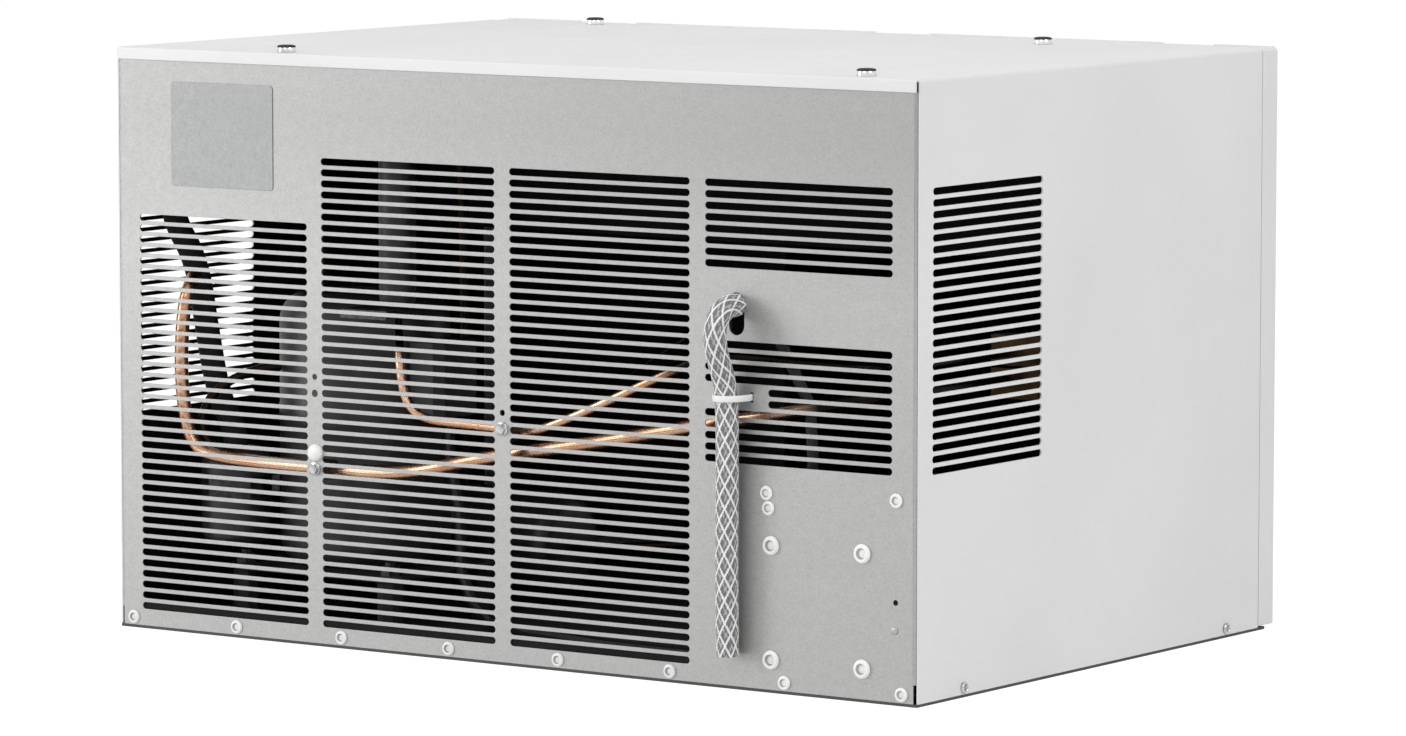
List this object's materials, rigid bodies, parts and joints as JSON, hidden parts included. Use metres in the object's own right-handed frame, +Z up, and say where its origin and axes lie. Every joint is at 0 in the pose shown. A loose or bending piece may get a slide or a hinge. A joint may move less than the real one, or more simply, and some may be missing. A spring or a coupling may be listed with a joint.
{
  "type": "refrigeration condensing unit",
  "caption": "Boxed refrigeration condensing unit with slotted service face, fan-cooled coil, hermetic compressor and a sleeved cord.",
  "frame": {"origin": "on the floor, at the middle of the casing's footprint", "axes": "+Z up; the slotted rear service face looks along -Y, the air inlet along +Y, +X is to the right of someone who faces the service face"},
  "size_m": [0.6648, 0.4837, 0.4082],
  "materials": {
    "white_paint": "satin powder coat",
    "galvanised": "galvanised sheet, fine spangle",
    "black_paint": "semi-gloss black paint",
    "dark_steel": "dark coated sheet",
    "copper": "bright drawn copper tube",
    "black_foam": "closed-cell black foam",
    "aluminium_fins": "thin rolled fins",
    "zinc_plated": "bright zinc plate",
    "polished_steel": "polished",
    "black_plastic": "moulded",
    "white_plastic": "moulded nylon",
    "black_rubber": "moulded rubber",
    "white_rivet": "white lacquered aluminium",
    "grey_plate": "fine brushed, blank",
    "braid": "grey and white braided sleeve",
    "brass": "turned brass"
  },
  "bodies": {
    "cabinet": {"base_pan": "black_paint", "rear_panel": "galvanised", "cover_wrap": "white_paint", "front_bezel": "white_paint", "front_grille": "dark_steel", "acoustic_foam": "black_foam", "rear_rivets": "white_rivet", "box_rivets": "zinc_plated", "blank_plate": "grey_plate", "clip_screws": "zinc_plated", "pipe_clips": "zinc_plated", "plug_button": "white_plastic", "corner_stud": "galvanised", "side_screws": "zinc_plated", "bumper_posts": "polished_steel", "bumper_caps": "black_rubber", "harness_sleeve": "braid", "cable_tie": "white_plastic", "coil_fins": "aluminium_fins", "coil_end_plates": "galvanised", "coil_bends": "copper", "fan_shroud": "galvanised", "fan_motor": "dark_steel", "motor_bracket": "galvanised", "motor_bolts": "zinc_plated", "air_baffle": "galvanised", "compressor_shell": "black_paint", "compressor_grommets": "black_rubber", "compressor_bolts": "zinc_plated", "terminal_cover": "black_plastic", "accumulator": "black_paint", "accumulator_strap": "zinc_plated", "receiver_tank": "black_paint", "receiver_feet": "dark_steel", "filter_drier": "dark_steel", "drier_bracket": "zinc_plated", "suction_tube": "copper", "liquid_tube": "copper", "discharge_tube": "copper", "insulated_suction": "black_foam", "receiver_tubes": "copper", "line_valves": "brass", "process_stub": "copper", "electrical_box": "galvanised", "electrical_lid": "galvanised", "run_capacitor": "dark_steel", "start_relay": "black_plastic", "terminal_strip": "white_plastic", "inner_harness": "black_plastic", "outlet_grommet": "black_rubber"},
    "fan": {"fan_blade": "black_plastic", "fan_shaft": "zinc_plated"}
  },
  "joints": [
    {"name": "fan_spin", "type": "hinge", "parent": "cabinet", "child": "fan", "pos_m": [0.1625, 0.138, 0.14], "axis": [0, 1, 0], "continuous": true}
  ]
}
